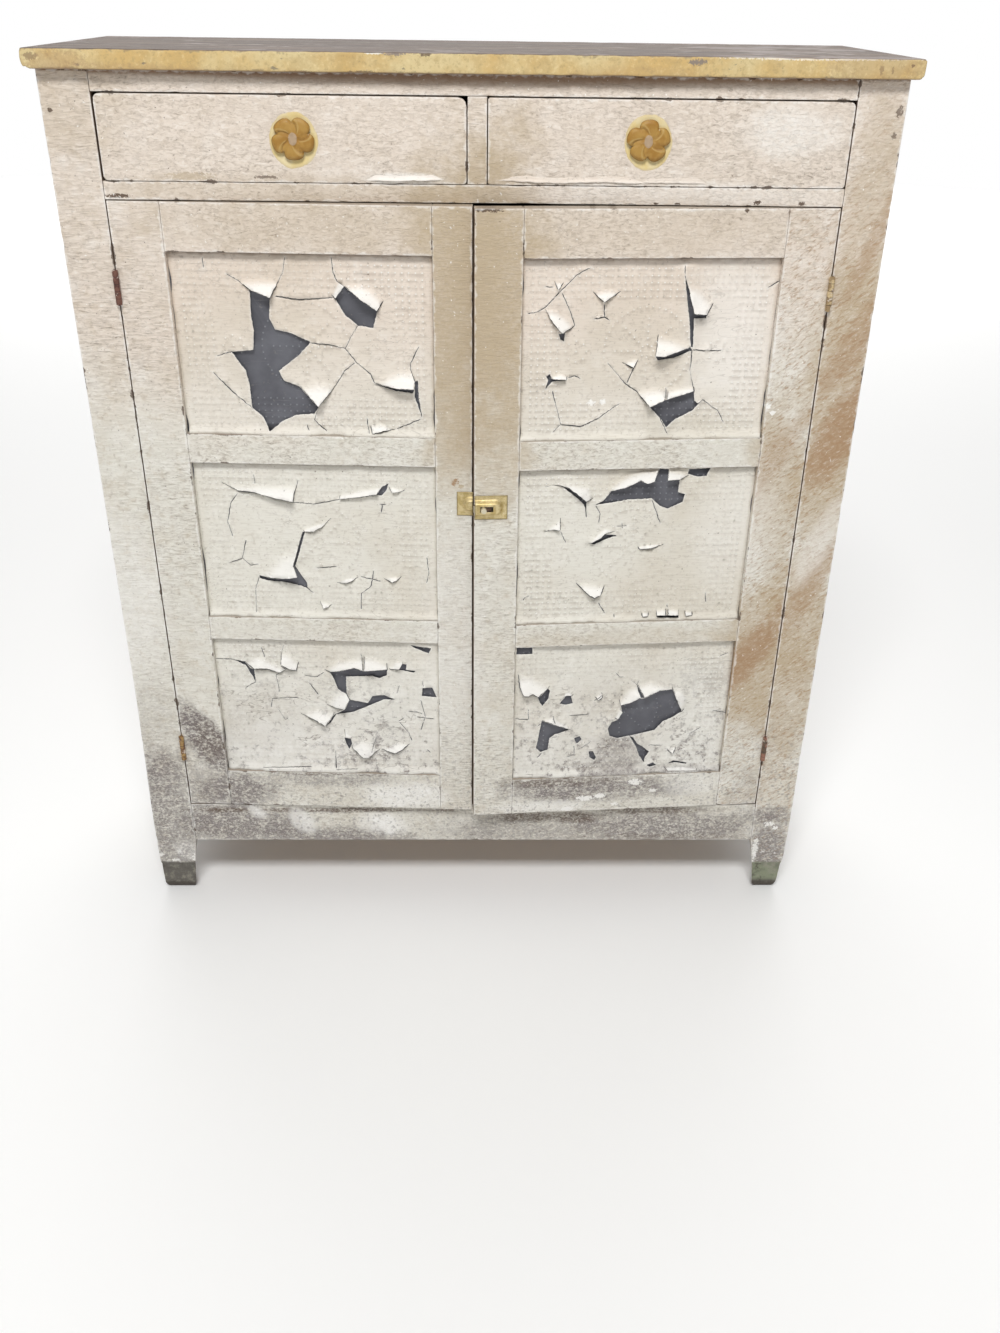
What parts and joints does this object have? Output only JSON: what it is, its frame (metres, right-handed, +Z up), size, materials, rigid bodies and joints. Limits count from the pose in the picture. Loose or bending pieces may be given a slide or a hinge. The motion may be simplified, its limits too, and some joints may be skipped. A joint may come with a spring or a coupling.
{
  "type": "pie safe",
  "caption": "Free-standing painted pie safe on short legs: drawers above framed doors that hold punched tin panels, hung on butt hinges and shut by a brass spring latch.",
  "frame": {"origin": "on the floor, under the middle of the whole object's box", "axes": "+X to the right of someone facing the doors, +Y from front to back, +Z up"},
  "size_m": [1.062, 0.4074, 1.265],
  "materials": {
    "white_paint": "old chalky off-white paint on pine, worn and stained",
    "yellow_paint": "chipped mustard yellow paint on the edge, bare worn wood on top",
    "bare_wood": "aged unpainted pine",
    "painted_tin": "punched tin under cracked, peeling white paint",
    "rusty_iron": "rusty, with paint remains",
    "brass": "dull worn brass",
    "amber": "semi-gloss amber brown"
  },
  "bodies": {
    "case": {"top_board": "yellow_paint", "post_front_left": "white_paint", "post_front_right": "white_paint", "post_back_left": "white_paint", "post_back_right": "white_paint", "top_rail": "white_paint", "drawer_divider": "white_paint", "drawer_rail": "white_paint", "apron": "white_paint", "side_left": "white_paint", "side_right": "white_paint", "back_board_lower": "bare_wood", "back_board_upper": "bare_wood", "bottom_board": "bare_wood", "shelf_lower": "bare_wood", "shelf_upper": "bare_wood", "runner_left": "bare_wood", "runner_centre": "bare_wood", "runner_right": "bare_wood", "hinge_left_lower_post_leaf": "rusty_iron", "hinge_left_upper_post_leaf": "rusty_iron", "hinge_right_lower_post_leaf": "rusty_iron", "hinge_right_upper_post_leaf": "rusty_iron"},
    "drawer_left": {"drawer_left_front": "white_paint", "drawer_left_side_left": "bare_wood", "drawer_left_side_right": "bare_wood", "drawer_left_back": "bare_wood", "drawer_left_bottom": "bare_wood", "drawer_left_knob": "amber"},
    "drawer_right": {"drawer_right_front": "white_paint", "drawer_right_side_left": "bare_wood", "drawer_right_side_right": "bare_wood", "drawer_right_back": "bare_wood", "drawer_right_bottom": "bare_wood", "drawer_right_knob": "amber"},
    "door_left": {"door_left_hinge_stile": "white_paint", "door_left_meeting_stile": "white_paint", "door_left_bottom_rail": "white_paint", "door_left_lower_rail": "white_paint", "door_left_upper_rail": "white_paint", "door_left_top_rail": "white_paint", "door_left_tin_lower": "painted_tin", "door_left_tin_middle": "painted_tin", "door_left_tin_upper": "painted_tin", "hinge_left_lower_door_leaf": "rusty_iron", "hinge_left_upper_door_leaf": "rusty_iron", "latch_keeper": "brass"},
    "door_right": {"door_right_hinge_stile": "white_paint", "door_right_meeting_stile": "white_paint", "door_right_bottom_rail": "white_paint", "door_right_lower_rail": "white_paint", "door_right_upper_rail": "white_paint", "door_right_top_rail": "white_paint", "door_right_tin_lower": "painted_tin", "door_right_tin_middle": "painted_tin", "door_right_tin_upper": "painted_tin", "hinge_right_lower_door_leaf": "rusty_iron", "hinge_right_upper_door_leaf": "rusty_iron", "latch_plate": "brass"},
    "latch_bolt": {"latch_bolt": "rusty_iron"}
  },
  "joints": [
    {"name": "drawer_left_slide", "type": "slide", "parent": "case", "child": "drawer_left", "axis": [0, -1, 0], "range_m": [0, 0.24]},
    {"name": "drawer_right_slide", "type": "slide", "parent": "case", "child": "drawer_right", "axis": [0, -1, 0], "range_m": [0, 0.24]},
    {"name": "door_left_hinge", "type": "hinge", "parent": "case", "child": "door_left", "pos_m": [-0.4585, -0.16134, 0.637], "axis": [0, 0, -1], "range_deg": [-2.2, 155]},
    {"name": "door_right_hinge", "type": "hinge", "parent": "case", "child": "door_right", "pos_m": [0.4585, -0.16134, 0.637], "axis": [0, 0, 1], "range_deg": [-4, 155]},
    {"name": "latch_bolt_slide", "type": "slide", "parent": "door_right", "child": "latch_bolt", "axis": [0.9976, 0.0698, 0], "range_m": [0, 0.009], "stiffness_N_per_m": 120}
  ]
}
